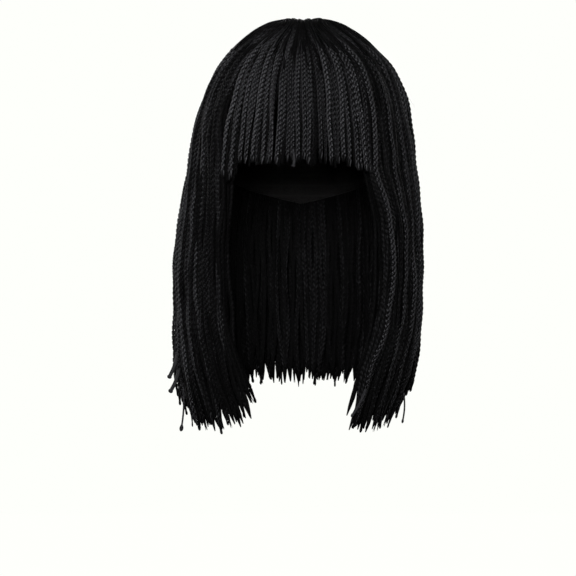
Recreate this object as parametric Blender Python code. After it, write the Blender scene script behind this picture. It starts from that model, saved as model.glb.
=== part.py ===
"""Shoulder-length braid wig with a straight fringe, as it hangs when worn.

Metres, +Z up. The wig faces -Y, and +X is on the right of someone who looks at its face.
The origin is the inside of the cap at the top of the head.

The hair lies between two surfaces. The shell is its outside, and the lining is the skin side,
which follows the head down to the ears and then hangs free. Both are read at a station, which
counts sections downwards from the parting, and at an angle round the head in degrees, 0 at the
front and positive towards +X.
"""

import math
from collections import namedtuple

import bmesh
import bpy
import numpy as np

# The head that fills the cap
HEAD_WIDTH = 0.154
HEAD_FRONT = 0.0855
HEAD_BACK = 0.0965
HEAD_DEPTH = 0.120

# The cap
CAP_WALL = 0.0015
CAP_GAP = 0.0006
CAP_COLUMNS = 30

# The hair: how far it stands off the head, and how far it falls below the top of the head
CROWN_RISE = 0.0113
SIDE_BULK = 0.034
FRONT_BULK = 0.0135
BACK_BULK = 0.0175
HAIR_DROP = 0.339
CURTAIN_THICKNESS = 0.020

# The fringe and the seams between the locks' groups, as angles round the head
FRINGE_LEFT_ANGLE = -43.5
FRINGE_RIGHT_ANGLE = 37.0
BACK_SEAM_ANGLE = 125.0
FRINGE_DROP = 0.116

# The locks
FRINGE_LOCKS = 12
SIDE_LOCKS = 10
BACK_LOCKS = 12
UNDER_SIDE_LOCKS = 5
UNDER_BACK_LOCKS = 7
GROUP_GAP = 0.0004
LAYER_GAP = 0.0006
RIB_RATIO = 0.20
RIB_LIMIT = 1 / 3
TIP_STAGGER = 0.005
STAGGER_TURN = 2.4
UNDER_SHORTER = 0.012
UNDER_SET_BACK = 2.0
TIP_WIDTH = 0.72
TIP_THICKNESS = 0.60

# Where groups of locks start and where their locks part from the sheet, as stations
FRINGE_START = 0.4
FRINGE_SPLIT = 8.4
UNDER_START = 6.0
CURTAIN_SPLIT = 12.5

# The outside of one lock: across runs from -1 to 1, and dip is a share of the rib's height
RibPoint = namedtuple("RibPoint", "across dip")
RIB_PROFILE = (
    RibPoint(-1.00, 1.00),
    RibPoint(-0.55, 0.28),
    RibPoint(0.00, 0.00),
    RibPoint(0.55, 0.28),
    RibPoint(1.00, 1.00),
)

# Heights are shares of CROWN_RISE above the top of the head, and of HAIR_DROP below it. The
# other columns are shares of the reach to that side, and outer is the outer layer's share of
# the hair between shell and lining.
Shell = namedtuple("Shell", "height left right front back outer")
SHELL = (
    Shell(0.70, 0.027, 0.027, 0.140, 0.333, 1.00),
    Shell(1.00, 0.090, 0.108, 0.235, 0.405, 1.00),
    Shell(0.88, 0.180, 0.225, 0.333, 0.482, 1.00),
    Shell(0.55, 0.306, 0.351, 0.460, 0.588, 1.00),
    Shell(0.00, 0.428, 0.459, 0.580, 0.690, 1.00),
    Shell(-0.035, 0.550, 0.581, 0.707, 0.800, 1.00),
    Shell(-0.088, 0.676, 0.716, 0.820, 0.885, 0.76),
    Shell(-0.161, 0.775, 0.813, 0.925, 0.965, 0.55),
    Shell(-0.249, 0.850, 0.865, 0.985, 1.000, 0.50),
    Shell(-0.351, 0.900, 0.904, 1.000, 0.995, 0.50),
    Shell(-0.468, 0.964, 0.933, 0.930, 0.955, 0.50),
    Shell(-0.600, 1.000, 0.942, 0.850, 0.905, 0.50),
    Shell(-0.731, 1.000, 0.940, 0.810, 0.877, 0.50),
    Shell(-0.833, 1.000, 0.896, 0.830, 0.868, 0.50),
    Shell(-0.912, 0.975, 0.830, 0.880, 0.877, 0.50),
    Shell(-1.000, 0.915, 0.745, 0.930, 0.886, 0.50),
)

# The lining on the head, as shares of the head's depth and of its reaches outside the cap
Lining = namedtuple("Lining", "drop side front back")
LINING = (
    Lining(0.000, 0.038, 0.160, 0.386),
    Lining(0.003, 0.127, 0.250, 0.452),
    Lining(0.011, 0.230, 0.343, 0.528),
    Lining(0.037, 0.368, 0.458, 0.625),
    Lining(0.086, 0.526, 0.578, 0.727),
    Lining(0.174, 0.684, 0.709, 0.833),
    Lining(0.306, 0.836, 0.835, 0.925),
    Lining(0.495, 0.931, 0.932, 0.981),
    Lining(0.727, 0.982, 0.990, 1.000),
    Lining(1.000, 1.000, 1.000, 0.976),
)

# Below the head the lining hangs this share of CURTAIN_THICKNESS inside the shell, a row for
# each further station
CURTAIN_SHARES = (1.00, 1.00, 0.95, 0.85, 0.70, 0.50)

# The front edge of each side at the stations below the fringe, in degrees from the front
FrontEdge = namedtuple("FrontEdge", "left right")
FIRST_FREE_STATION = 10
FRONT_EDGES = (
    FrontEdge(40.5, 44.0),
    FrontEdge(39.5, 45.0),
    FrontEdge(37.5, 42.0),
    FrontEdge(32.0, 34.5),
    FrontEdge(26.5, 31.5),
    FrontEdge(22.5, 26.5),
)

# How low the tips hang round the head, as shares of HAIR_DROP
Tips = namedtuple("Tips", "angle left right")
TIPS = (
    Tips(25.0, 0.953, 0.985),
    Tips(40.0, 0.980, 0.985),
    Tips(55.0, 0.990, 0.978),
    Tips(70.0, 0.980, 0.965),
    Tips(80.0, 0.925, 0.922),
    Tips(90.0, 0.888, 0.885),
    Tips(105.0, 0.888, 0.882),
    Tips(125.0, 0.892, 0.889),
    Tips(180.0, 0.895, 0.895),
)

# The fringe's lower line, as an addition to FRINGE_DROP in shares of FRINGE_SWING
FRINGE_SWING = 0.016
FringeLine = namedtuple("FringeLine", "across extra")
FRINGE_LINE = (
    FringeLine(0.00, 1.00),
    FringeLine(0.08, 0.80),
    FringeLine(0.14, 0.05),
    FringeLine(0.50, 0.00),
    FringeLine(0.80, 0.15),
    FringeLine(1.00, 0.45),
)

# The cap's edge round the head, as shares of the head's depth below its top
CapEdge = namedtuple("CapEdge", "angle drop")
CAP_EDGE = (
    CapEdge(0.0, 0.42),
    CapEdge(30.0, 0.49),
    CapEdge(55.0, 0.66),
    CapEdge(72.0, 0.94),
    CapEdge(90.0, 0.80),
    CapEdge(112.0, 0.96),
    CapEdge(140.0, 1.07),
    CapEdge(180.0, 1.18),
)
CAP_ROWS = (0.0, 0.14, 0.27, 0.40, 0.52, 0.64, 0.76, 0.88, 1.0)

HAIR_COLOUR = (0.011, 0.011, 0.012, 1.0)
CAP_COLOUR = (0.016, 0.015, 0.015, 1.0)

SIDE_REACH = HEAD_WIDTH / 2 + SIDE_BULK
FRONT_REACH = HEAD_FRONT + FRONT_BULK
BACK_REACH = HEAD_BACK + BACK_BULK
CAP_STACK = CAP_WALL + CAP_GAP
LAST_STATION = len(SHELL) - 1
TOP_OF_HEAD_STATION = 4


def shell_section(index):
    """(height, left, right, front, back) of the outside at a whole station, in metres."""
    row = SHELL[index]
    scale = CROWN_RISE if row.height > 0 else HAIR_DROP
    reaches = (row.left * SIDE_REACH, row.right * SIDE_REACH)
    depths = (row.front * FRONT_REACH, row.back * BACK_REACH)
    return np.array((row.height * scale, *reaches, *depths))


def lining_section(index):
    """(height, left, right, front, back) of the skin side at a whole station, in metres."""
    if index < len(LINING):
        row = LINING[index]
        side = row.side * (HEAD_WIDTH / 2 + CAP_STACK)
        front = row.front * (HEAD_FRONT + CAP_STACK)
        back = row.back * (HEAD_BACK + CAP_STACK)
        return np.array((CAP_STACK - row.drop * HEAD_DEPTH, side, side, front, back))
    inset = CURTAIN_SHARES[index - len(LINING)] * CURTAIN_THICKNESS
    return shell_section(index) - np.array((0.0, inset, inset, inset, inset))


SHELL_SECTIONS = np.array([shell_section(i) for i in range(LAST_STATION + 1)])
LINING_SECTIONS = np.array([lining_section(i) for i in range(LAST_STATION + 1)])
OUTER_SHARES = np.array([row.outer for row in SHELL])


def at_station(values, station):
    """The row of values at a station, straight between whole stations."""
    low = min(int(station), LAST_STATION - 1)
    share = station - low
    return values[low] * (1 - share) + values[low + 1] * share


def on_section(sections, station, angle):
    """The point of a surface at a station and an angle: an oval with its own four reaches."""
    height, left, right, front, back = at_station(sections, station)
    across = math.sin(math.radians(angle))
    ahead = math.cos(math.radians(angle))
    x = across * (right if across > 0 else left)
    y = -ahead * (front if ahead > 0 else back)
    return np.array((x, y, height))


def hair_point(station, angle, depth):
    """A point in the hair: depth 0 is on the shell and depth 1 on the lining."""
    outside = on_section(SHELL_SECTIONS, station, angle)
    inside = on_section(LINING_SECTIONS, station, angle)
    return outside + depth * (inside - outside)


def hair_thickness(station, angle):
    outside = on_section(SHELL_SECTIONS, station, angle)
    inside = on_section(LINING_SECTIONS, station, angle)
    return float(np.linalg.norm(inside - outside))


def width_per_degree(station, angle):
    """How many metres one degree takes up on the shell."""
    half = 0.5
    before = on_section(SHELL_SECTIONS, station, angle - half)
    after = on_section(SHELL_SECTIONS, station, angle + half)
    return float(np.linalg.norm(after - before))


def from_table(rows, key, column, value):
    """A table's column at a value of its key column, straight between rows."""
    return float(np.interp(value, [getattr(r, key) for r in rows], [getattr(r, column) for r in rows]))


def station_at_drop(drop):
    """The station where the shell hangs this far below the top of the head."""
    drops = -SHELL_SECTIONS[TOP_OF_HEAD_STATION:, 0]
    return TOP_OF_HEAD_STATION + float(np.interp(drop, drops, np.arange(len(drops))))


def front_edge(station, side):
    """The front edge of a side in degrees from the front: the seam with the fringe, then free."""
    seam = -FRINGE_LEFT_ANGLE if side == "left" else FRINGE_RIGHT_ANGLE
    free = [getattr(row, side) for row in FRONT_EDGES]
    return float(np.interp(station, np.arange(len(free) + 1) + FIRST_FREE_STATION - 1, [seam, *free]))


def tip_drop(angle, shorter):
    """How far the tip at this angle hangs below the top of the head."""
    side = "left" if angle < 0 else "right"
    turned = min(abs(angle), 360.0 - abs(angle))
    return from_table(TIPS, "angle", side, turned) * HAIR_DROP - shorter


def stagger(index):
    """Tips are cut by hand, so each lock ends a little above or below its neighbours."""
    return TIP_STAGGER * math.sin(STAGGER_TURN * index)


class Layer:
    """One group of locks: the angles and depths that it fills, and where it starts and splits."""

    def __init__(self, locks, first, split, angles, under=False, whole=False):
        self.locks = locks
        self.first = first
        self.split = split
        self.angles = angles
        self.under = under
        self.whole = whole

    def joined_stations(self):
        """The stations of the rows where the locks are still one sheet."""
        between = [float(s) for s in range(math.floor(self.first) + 1, math.ceil(self.split))]
        return [self.first, *between, self.split]

    def seam_angle(self, station, seam):
        """The angle between locks seam - 1 and seam, half a gap inside at the group's own edges."""
        start, end = self.angles(station)
        angle = start + (end - start) * seam / self.locks
        inset = GROUP_GAP / 2 / width_per_degree(station, angle)
        if seam == 0:
            return angle + inset
        if seam == self.locks:
            return angle - inset
        return angle

    def depths(self, station, angle):
        """(outer, inner) depth of this layer, which leaves a gap to the layer beside it."""
        half_gap = LAYER_GAP / 2 / hair_thickness(station, angle)
        share = 1.0 if self.whole else float(at_station(OUTER_SHARES, station))
        if self.under:
            return share + half_gap, 1.0
        return 0.0, 1.0 if share > 0.99 else share - half_gap


def lock_ring(layer, station, index, taper):
    """The eight points round one lock: five across its outside, three across its skin side.

    taper runs from 0 where the lock leaves the sheet to 1 at its tip. The lock narrows, thins
    and grows rounder along it.
    """
    left = layer.seam_angle(station, index)
    right = layer.seam_angle(station, index + 1)
    middle = (left + right) / 2
    half = (right - left) / 2 * (1 - (1 - TIP_WIDTH) * taper)
    outer, inner = layer.depths(station, middle)
    centre = (outer + inner) / 2
    thin = 1 - (1 - TIP_THICKNESS) * taper
    outer = centre + (outer - centre) * thin
    inner = centre + (inner - centre) * thin
    width = 2 * half * width_per_degree(station, middle)
    most = RIB_LIMIT * (inner - outer)
    rib = min(RIB_RATIO * width / hair_thickness(station, middle), most)
    rib += (most - rib) * taper
    groove = rib / 2 * taper
    points = [
        hair_point(station, middle + p.across * half, outer + p.dip * rib)
        for p in RIB_PROFILE
    ]
    skin = ((1.0, groove), (0.0, 0.0), (-1.0, groove))
    points += [hair_point(station, middle + t * half, inner - d) for t, d in skin]
    return points


def new_object(name, mesh_data, material, parent):
    """A finished object from a bmesh, with its faces pointing out."""
    bmesh.ops.recalc_face_normals(mesh_data, faces=mesh_data.faces)
    if mesh_data.calc_volume(signed=True) < 0:
        bmesh.ops.reverse_faces(mesh_data, faces=mesh_data.faces)
    mesh = bpy.data.meshes.new(name)
    mesh_data.to_mesh(mesh)
    mesh_data.free()
    mesh.materials.append(material)
    mesh.shade_smooth()
    mesh.set_sharp_from_angle(angle=math.radians(50))
    made = bpy.data.objects.new(name, mesh)
    bpy.context.scene.collection.objects.link(made)
    made.parent = parent
    return made


def locks_fused_to_a_sheet(name, layer, tip_stations, material, parent):
    """A comb of locks: one ribbed sheet down to the split, then a separate lock to each tip.

    Neighbouring locks share the two points of the seam between them on every joined row, and
    below the split each lock has its own ring of eight points.
    """
    mesh_data = bmesh.new()
    count = layer.locks

    def joined_row(station):
        """Each lock's ring on a joined row, with the seam points shared."""
        rings = []
        for index in range(count):
            points = lock_ring(layer, station, index, 0.0)
            ring = [None if i in (0, 7) and rings else mesh_data.verts.new(p) for i, p in enumerate(points)]
            if rings:
                ring[0], ring[7] = rings[-1][4], rings[-1][5]
            rings.append(ring)
        return rings

    def outside_and_skin(above, below):
        """The faces of one lock between two joined rows, without the walls at its seams."""
        for i in (0, 1, 2, 3, 5, 6):
            mesh_data.faces.new((above[i], above[i + 1], below[i + 1], below[i]))

    def wall(above, below, outside, skin):
        mesh_data.faces.new((above[skin], above[outside], below[outside], below[skin]))

    rows = [joined_row(station) for station in layer.joined_stations()]
    for above, below in zip(rows, rows[1:]):
        for ring, next_ring in zip(above, below):
            outside_and_skin(ring, next_ring)
        wall(above[0], below[0], 0, 7)
        wall(above[-1], below[-1], 4, 5)
    for ring in rows[0]:
        mesh_data.faces.new(ring)

    for index, tip in enumerate(tip_stations):
        ring = rows[-1][index]
        steps = max(2, math.ceil(tip - layer.split))
        for step in range(1, steps + 1):
            taper = step / steps
            station = layer.split + (tip - layer.split) * taper
            points = lock_ring(layer, station, index, taper)
            next_ring = [mesh_data.verts.new(p) for p in points]
            outside_and_skin(ring, next_ring)
            wall(ring, next_ring, 0, 7)
            wall(ring, next_ring, 4, 5)
            ring = next_ring
        mesh_data.faces.new(ring)
    return new_object(name, mesh_data, material, parent)


def free_tips(layer, shorter=0.0):
    """The station where each lock of a side or of the back ends."""
    tips = []
    for index in range(layer.locks):
        start, end = layer.angles(LAST_STATION)
        angle = start + (end - start) * (index + 0.5) / layer.locks
        tips.append(station_at_drop(tip_drop(angle, shorter) + stagger(index)))
    return tips


def fringe_tips(layer):
    """The station where each lock of the fringe ends, along its nearly straight lower line."""
    tips = []
    for index in range(layer.locks):
        across = (index + 0.5) / layer.locks
        extra = from_table(FRINGE_LINE, "across", "extra", across) * FRINGE_SWING
        tips.append(station_at_drop(FRINGE_DROP + extra + stagger(index) / 3))
    return tips


def fringe(material, parent):
    """The locks over the forehead, which fan from the front end of the parting."""
    layer = Layer(
        FRINGE_LOCKS,
        first=FRINGE_START,
        split=FRINGE_SPLIT,
        angles=lambda station: (-front_edge(station, "left"), front_edge(station, "right")),
        whole=True,
    )
    return locks_fused_to_a_sheet("fringe", layer, fringe_tips(layer), material, parent)


def side_locks(side, material, parent):
    """The outer locks from the parting down past one cheek to in front of the shoulder."""
    sign = -1.0 if side == "left" else 1.0

    def angles(station):
        ends = sorted((sign * front_edge(station, side), sign * BACK_SEAM_ANGLE))
        return ends[0], ends[1]

    layer = Layer(SIDE_LOCKS, first=0.0, split=CURTAIN_SPLIT, angles=angles)
    return locks_fused_to_a_sheet(f"{side}_side_locks", layer, free_tips(layer), material, parent)


def back_locks(material, parent):
    """The outer locks from the back end of the parting down behind the neck."""
    layer = Layer(
        BACK_LOCKS,
        first=0.0,
        split=CURTAIN_SPLIT,
        angles=lambda station: (BACK_SEAM_ANGLE, 360.0 - BACK_SEAM_ANGLE),
    )
    return locks_fused_to_a_sheet("back_locks", layer, free_tips(layer), material, parent)


def under_side_locks(side, material, parent):
    """The shorter locks under one side, sewn to the cap round the ear."""
    sign = -1.0 if side == "left" else 1.0
    seam = -FRINGE_LEFT_ANGLE if side == "left" else FRINGE_RIGHT_ANGLE

    def angles(station):
        front = min(seam, front_edge(station, side)) + UNDER_SET_BACK
        ends = sorted((sign * front, sign * BACK_SEAM_ANGLE))
        return ends[0], ends[1]

    layer = Layer(UNDER_SIDE_LOCKS, UNDER_START, CURTAIN_SPLIT, angles, under=True)
    tips = free_tips(layer, UNDER_SHORTER)
    return locks_fused_to_a_sheet(f"{side}_under_locks", layer, tips, material, parent)


def under_back_locks(material, parent):
    """The shorter locks under the back, sewn to the cap above the nape."""
    layer = Layer(
        UNDER_BACK_LOCKS,
        first=UNDER_START,
        split=CURTAIN_SPLIT,
        angles=lambda station: (BACK_SEAM_ANGLE, 360.0 - BACK_SEAM_ANGLE),
        under=True,
    )
    tips = free_tips(layer, UNDER_SHORTER)
    return locks_fused_to_a_sheet("back_under_locks", layer, tips, material, parent)


def lining_normal(station, angle):
    """The direction out of the head on the lining."""
    step = 0.5
    above = on_section(LINING_SECTIONS, max(station - step, 0.0), angle)
    below = on_section(LINING_SECTIONS, station + step, angle)
    before = on_section(LINING_SECTIONS, station, angle - 1)
    after = on_section(LINING_SECTIONS, station, angle + 1)
    normal = np.cross(below - above, after - before)
    return normal / np.linalg.norm(normal)


def lining_station_at_drop(drop):
    """The station where the lining lies this far below the top of the head."""
    return float(np.interp(drop, -LINING_SECTIONS[:, 0], np.arange(len(LINING_SECTIONS))))


def cap(material, parent):
    """The sewn cap that carries the locks: a thin dome with tabs before the ears and a nape."""
    mesh_data = bmesh.new()
    angles = [360.0 * i / CAP_COLUMNS - 180.0 for i in range(CAP_COLUMNS)]
    edges = [
        lining_station_at_drop(from_table(CAP_EDGE, "angle", "drop", abs(a)) * HEAD_DEPTH)
        for a in angles
    ]

    def ring(share, inset):
        made = []
        for angle, edge in zip(angles, edges):
            station = edge * share
            point = on_section(LINING_SECTIONS, station, angle)
            made.append(mesh_data.verts.new(point - inset * lining_normal(station, angle)))
        return made

    def band(above, below):
        for i in range(CAP_COLUMNS):
            j = (i + 1) % CAP_COLUMNS
            mesh_data.faces.new((above[i], above[j], below[j], below[i]))

    outside = [ring(share, CAP_GAP) for share in CAP_ROWS]
    inside = [ring(share, CAP_STACK) for share in CAP_ROWS]
    for rings in (outside, inside):
        mesh_data.faces.new(rings[0])
        for above, below in zip(rings, rings[1:]):
            band(above, below)
    band(outside[-1], inside[-1])
    return new_object("cap", mesh_data, material, parent)


def plain_material(name, colour, roughness):
    made = bpy.data.materials.new(name)
    made.use_nodes = True
    shader = made.node_tree.nodes["Principled BSDF"]
    shader.inputs["Base Color"].default_value = colour
    shader.inputs["Roughness"].default_value = roughness
    shader.inputs["Metallic"].default_value = 0.0
    return made


def main():
    for old in list(bpy.data.objects):
        bpy.data.objects.remove(old)
    wig = bpy.data.objects.new("wig", None)
    bpy.context.scene.collection.objects.link(wig)
    hair = plain_material("braided_hair", HAIR_COLOUR, 0.45)
    net = plain_material("cap_net", CAP_COLOUR, 0.85)
    cap(net, wig)
    fringe(hair, wig)
    back_locks(hair, wig)
    under_back_locks(hair, wig)
    for side in ("left", "right"):
        side_locks(side, hair, wig)
        under_side_locks(side, hair, wig)


main()
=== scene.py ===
"""Braid wig: the looks of a shoulder-length wig of thin black braids with a straight fringe.

Every braid is three strands carried along one path. Paths lie between two surfaces, the shell
outside the hair and the lining on the head's side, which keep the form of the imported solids.
"""

import math
from collections import namedtuple

import bpy
import numpy as np
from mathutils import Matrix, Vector


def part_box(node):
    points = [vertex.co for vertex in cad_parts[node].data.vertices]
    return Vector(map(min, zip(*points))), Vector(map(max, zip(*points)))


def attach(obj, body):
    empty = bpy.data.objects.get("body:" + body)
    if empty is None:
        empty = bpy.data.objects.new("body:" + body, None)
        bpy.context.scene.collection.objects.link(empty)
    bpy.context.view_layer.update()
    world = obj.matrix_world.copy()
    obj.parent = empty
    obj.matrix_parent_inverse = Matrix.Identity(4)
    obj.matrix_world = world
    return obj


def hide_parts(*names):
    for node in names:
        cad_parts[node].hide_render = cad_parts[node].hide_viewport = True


bl_info = {
    "name": "Braid Wig",
    "version": (1, 0, 0),
    "blender": (4, 5, 0),
    "location": "3D View > Sidebar > Wig",
    "description": "Braids, cap and studio of a shoulder-length braid wig",
    "category": "Add Mesh",
}

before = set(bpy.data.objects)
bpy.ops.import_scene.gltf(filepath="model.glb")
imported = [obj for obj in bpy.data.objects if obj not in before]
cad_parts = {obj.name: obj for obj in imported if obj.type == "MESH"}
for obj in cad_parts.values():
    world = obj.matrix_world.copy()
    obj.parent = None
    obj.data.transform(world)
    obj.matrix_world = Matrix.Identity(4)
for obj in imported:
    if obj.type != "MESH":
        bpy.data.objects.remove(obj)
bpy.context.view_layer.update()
CAP_LOW, CAP_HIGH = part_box("cap")

# The reaches of the hair from the crown's middle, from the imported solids
HAIR_DROP = -min(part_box(f"{side}_side_locks")[0].z for side in ("left", "right"))
CROWN_RISE = max(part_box(name)[1].z for name in ("fringe", "left_side_locks", "back_locks"))
SIDE_REACH = -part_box("left_side_locks")[0].x
FRONT_REACH = -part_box("fringe")[0].y
BACK_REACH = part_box("back_locks")[1].y
HEAD_DEPTH = 0.120
CURTAIN_THICKNESS = 0.020

# Heights are shares of CROWN_RISE above the top of the head, and of HAIR_DROP below it. The
# other columns are shares of the reach to that side.
Shell = namedtuple("Shell", "height left right front back")
SHELL = (
    Shell(0.70, 0.027, 0.027, 0.140, 0.333),
    Shell(1.00, 0.090, 0.108, 0.235, 0.405),
    Shell(0.88, 0.180, 0.225, 0.333, 0.482),
    Shell(0.55, 0.306, 0.351, 0.460, 0.588),
    Shell(0.00, 0.428, 0.459, 0.580, 0.690),
    Shell(-0.035, 0.550, 0.581, 0.707, 0.800),
    Shell(-0.088, 0.676, 0.716, 0.820, 0.885),
    Shell(-0.161, 0.775, 0.813, 0.925, 0.965),
    Shell(-0.249, 0.850, 0.865, 0.985, 1.000),
    Shell(-0.351, 0.900, 0.904, 1.000, 0.995),
    Shell(-0.468, 0.964, 0.933, 0.930, 0.955),
    Shell(-0.600, 1.000, 0.942, 0.850, 0.905),
    Shell(-0.731, 1.000, 0.940, 0.810, 0.877),
    Shell(-0.833, 1.000, 0.896, 0.830, 0.868),
    Shell(-0.912, 0.975, 0.830, 0.880, 0.877),
    Shell(-1.000, 0.915, 0.745, 0.930, 0.886),
)
LAST_STATION = len(SHELL) - 1
TOP_OF_HEAD_STATION = 4

# The lining on the head, as shares of HEAD_DEPTH and of the cap's reaches
Lining = namedtuple("Lining", "drop side front back")
LINING = (
    Lining(0.000, 0.038, 0.160, 0.386),
    Lining(0.003, 0.127, 0.250, 0.452),
    Lining(0.011, 0.230, 0.343, 0.528),
    Lining(0.037, 0.368, 0.458, 0.625),
    Lining(0.086, 0.526, 0.578, 0.727),
    Lining(0.174, 0.684, 0.709, 0.833),
    Lining(0.306, 0.836, 0.835, 0.925),
    Lining(0.495, 0.931, 0.932, 0.981),
    Lining(0.727, 0.982, 0.990, 1.000),
    Lining(1.000, 1.000, 1.000, 0.976),
)

# Below the head the lining hangs this share of CURTAIN_THICKNESS inside the shell
CURTAIN_SHARES = (1.00, 1.00, 0.95, 0.85, 0.70, 0.50)

# A bell over the stations, highest at its middle and gone a few lengths away from it
Bell = namedtuple("Bell", "height middle length")

# The seams between the sides and the back, in degrees from the front
BACK_SEAM = 125.0
SEAM_OVERLAP = 4.0

# The seams beside the fringe lie CROWN_FAN degrees further round at the parting. Below it they
# are gathered towards the front by a share of their angle.
CROWN_FAN = 30.0
FAN_END = 5.0
GATHER = Bell(0.5, 3.5, 1.7)

# The smooth hair of the crown ends at this station, and stands this many metres higher at the
# sides than along the parting
CROWN_END = 5.6
CROWN_LIFT = Bell(0.0026, 1.8, 1.6)

# The dark gap left of the fringe: how far the side and the fringe draw back from it in degrees
SIDE_GAP = Bell(6.0, 7.5, 1.2)
FRINGE_GAP = Bell(1.2, 7.5, 1.2)

# The front edges of the sides in degrees from the front: their seams with the fringe down to this
# station, and from there on where they hang free
SEAM_STATION = 9
FRONT_EDGES = {
    "left": (43.5, 40.5, 39.5, 37.5, 32.0, 26.5, 22.5),
    "right": (37.0, 44.0, 45.0, 42.0, 34.5, 31.5, 26.5),
}

# How low the tips hang round the head, as shares of HAIR_DROP
Tips = namedtuple("Tips", "angle left right")
TIPS = (
    Tips(25.0, 0.953, 0.985),
    Tips(40.0, 0.980, 0.985),
    Tips(55.0, 0.990, 0.978),
    Tips(70.0, 0.980, 0.965),
    Tips(80.0, 0.925, 0.922),
    Tips(90.0, 0.888, 0.885),
    Tips(105.0, 0.888, 0.882),
    Tips(125.0, 0.892, 0.889),
    Tips(180.0, 0.895, 0.895),
)

# The fringe's lower line: how far below the top of the head it ends, across from left to right
FringeLine = namedtuple("FringeLine", "across drop")
FRINGE_LINE = (
    FringeLine(0.00, 0.131),
    FringeLine(0.07, 0.129),
    FringeLine(0.13, 0.1165),
    FringeLine(0.50, 0.116),
    FringeLine(0.80, 0.118),
    FringeLine(1.00, 0.122),
)

# A plait of width 1: how far its strands swing to the side and out, and a strand's half width
REACH = 0.31
LIFT = 0.17
FAT = 0.19
STRANDS = 3

# Painted light and shade of the plaits: how bright the smooth root is painted, how steeply the
# painted highlight on a plait's lobes falls to painted shade in their creases, and how dark the
# painted shade makes a strand where it faces its neighbours
ROOT_SHADE = 0.25
CREST_POWER = 2.0
NEIGHBOUR_SHADE = 0.4

# Metres along a braid over which it begins to wander, turn, widen and weave, and over which it
# sweeps aside, flicks out and tapers at its tip
WANDER_START = 0.12
TURN_START = 0.08
TWIST_START = 0.06
WIDTH_START = 0.06
WEAVE_START = 0.016
# ROOT_TONE_LENGTH: metres from the root over which the painted tone at the parting fades out
ROOT_TONE_LENGTH = 0.14
SWEEP_END = 0.08
FLICK_END = 0.04
TAPER_END = 0.08
FILLING_END = 0.012

# Wavelengths of a braid's random waves to the side, in depth and in its turn about itself, and
# the height of the last two in metres and radians
SIDE_WAVE = 0.17
DEPTH_WAVE = 0.11
TURN_WAVE = 0.26
DEPTH_SWAY = 0.0012
TURN_SWAY = 0.45

# No braid's middle comes nearer to the head's side than this
LEAST_COVER = 0.0012

SEED = 20

# Camera: the photo's size in pixels, the real size of one, and the pixel over the parting
IMAGE_PIXELS = 576
PIXEL = 0.000856
PARTING_PIXEL = 302.0
CAMERA_DISTANCE = 1.8
CAMERA_HEIGHT = -0.217
SENSOR = 36.0

# Soft lights: where each stands, and its share of the key light's power. Those in front face the
# brow and the others the nape. They shine within a cone of LAMP_SPREAD degrees.
Lamp = namedtuple("Lamp", "name place share")
FRONT_LAMPS = (
    Lamp("key", (-0.12, -1.6, 0.15), 1.0),
    Lamp("fill", (0.5, -1.5, 0.25), 0.10),
    Lamp("side", (-1.4, -0.2, 0.35), 0.06),
    Lamp("top", (0.0, 0.2, 1.2), 0.05),
)
REAR_LAMPS = (
    Lamp("rear_left", (-1.3, 0.9, 0.25), 0.45),
    Lamp("rear_right", (1.3, 0.9, 0.25), 0.45),
    Lamp("rear", (0.0, 1.6, 0.3), 0.35),
)
LAMP_WIDTH = 0.5
LAMP_SPREAD = 50.0
FLOOR_REACH = 12.0
BACKDROP = (0.99, 1.0, 0.965, 1.0)
FLOOR_GLOW = (0.985, 0.995, 0.96, 1.0)


def shell_table():
    """Rows of (height, left, right, front, back) in metres, one for each station."""
    shares = np.array(SHELL)
    heights = np.where(shares[:, 0] > 0, shares[:, 0] * CROWN_RISE, shares[:, 0] * HAIR_DROP)
    reaches = shares[:, 1:] * (SIDE_REACH, SIDE_REACH, FRONT_REACH, BACK_REACH)
    return np.column_stack((heights, reaches))


def lining_table(shell):
    """Rows of (height, left, right, front, back) in metres of the skin side."""
    head = np.array(LINING)
    reaches = head[:, (1, 1, 2, 3)] * (CAP_HIGH.x, CAP_HIGH.x, -CAP_LOW.y, CAP_HIGH.y)
    rows = np.column_stack((CAP_HIGH.z - head[:, 0] * HEAD_DEPTH, reaches))
    inset = np.array(CURTAIN_SHARES)[:, None] * CURTAIN_THICKNESS * np.array((0, 1, 1, 1, 1))
    return np.vstack((rows, shell[len(head) :] - inset))


SHELL_ROWS = shell_table()
LINING_ROWS = lining_table(SHELL_ROWS)


def smooth_rows(rows, station):
    """Rows at any stations, along a cubic through the whole ones (Catmull-Rom).

    Between rows b and c, with neighbours a and d and share t:
    half of (2b + (c - a)t + (2a - 5b + 4c - d)t^2 + (3b - a - 3c + d)t^3).
    """
    low = np.clip(np.floor(station).astype(int), 0, LAST_STATION - 1)
    t = (station - low)[..., None]
    a, b, c, d = (rows[np.clip(low + step, 0, LAST_STATION)] for step in (-1, 0, 1, 2))
    cubic = (3 * b - a - 3 * c + d) * t**3
    return 0.5 * (2 * b + (c - a) * t + (2 * a - 5 * b + 4 * c - d) * t**2 + cubic)


def on_surface(rows, station, angle):
    """Points of a surface: x is sin(angle) times the side's reach, y is minus cos times its own."""
    height, left, right, front, back = np.moveaxis(smooth_rows(rows, station), -1, 0)
    across = np.sin(np.radians(angle))
    ahead = np.cos(np.radians(angle))
    x = across * np.where(across > 0, right, left)
    y = -ahead * np.where(ahead > 0, front, back)
    return np.stack((x, y, height), axis=-1)


def unit(vectors):
    """Vectors divided by their lengths."""
    return vectors / np.maximum(np.linalg.norm(vectors, axis=-1, keepdims=True), 1e-9)


def hair_layer(station, angle):
    """Points of the shell, and the way to them from the lining."""
    outside = on_surface(SHELL_ROWS, station, angle)
    return outside, outside - on_surface(LINING_ROWS, station, angle)


def hair_points(station, angle, depth):
    """Points depth metres below the shell towards the lining, and the way out of the hair."""
    outside, layer = hair_layer(station, angle)
    out = unit(layer)
    return outside - depth[..., None] * out, out


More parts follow.
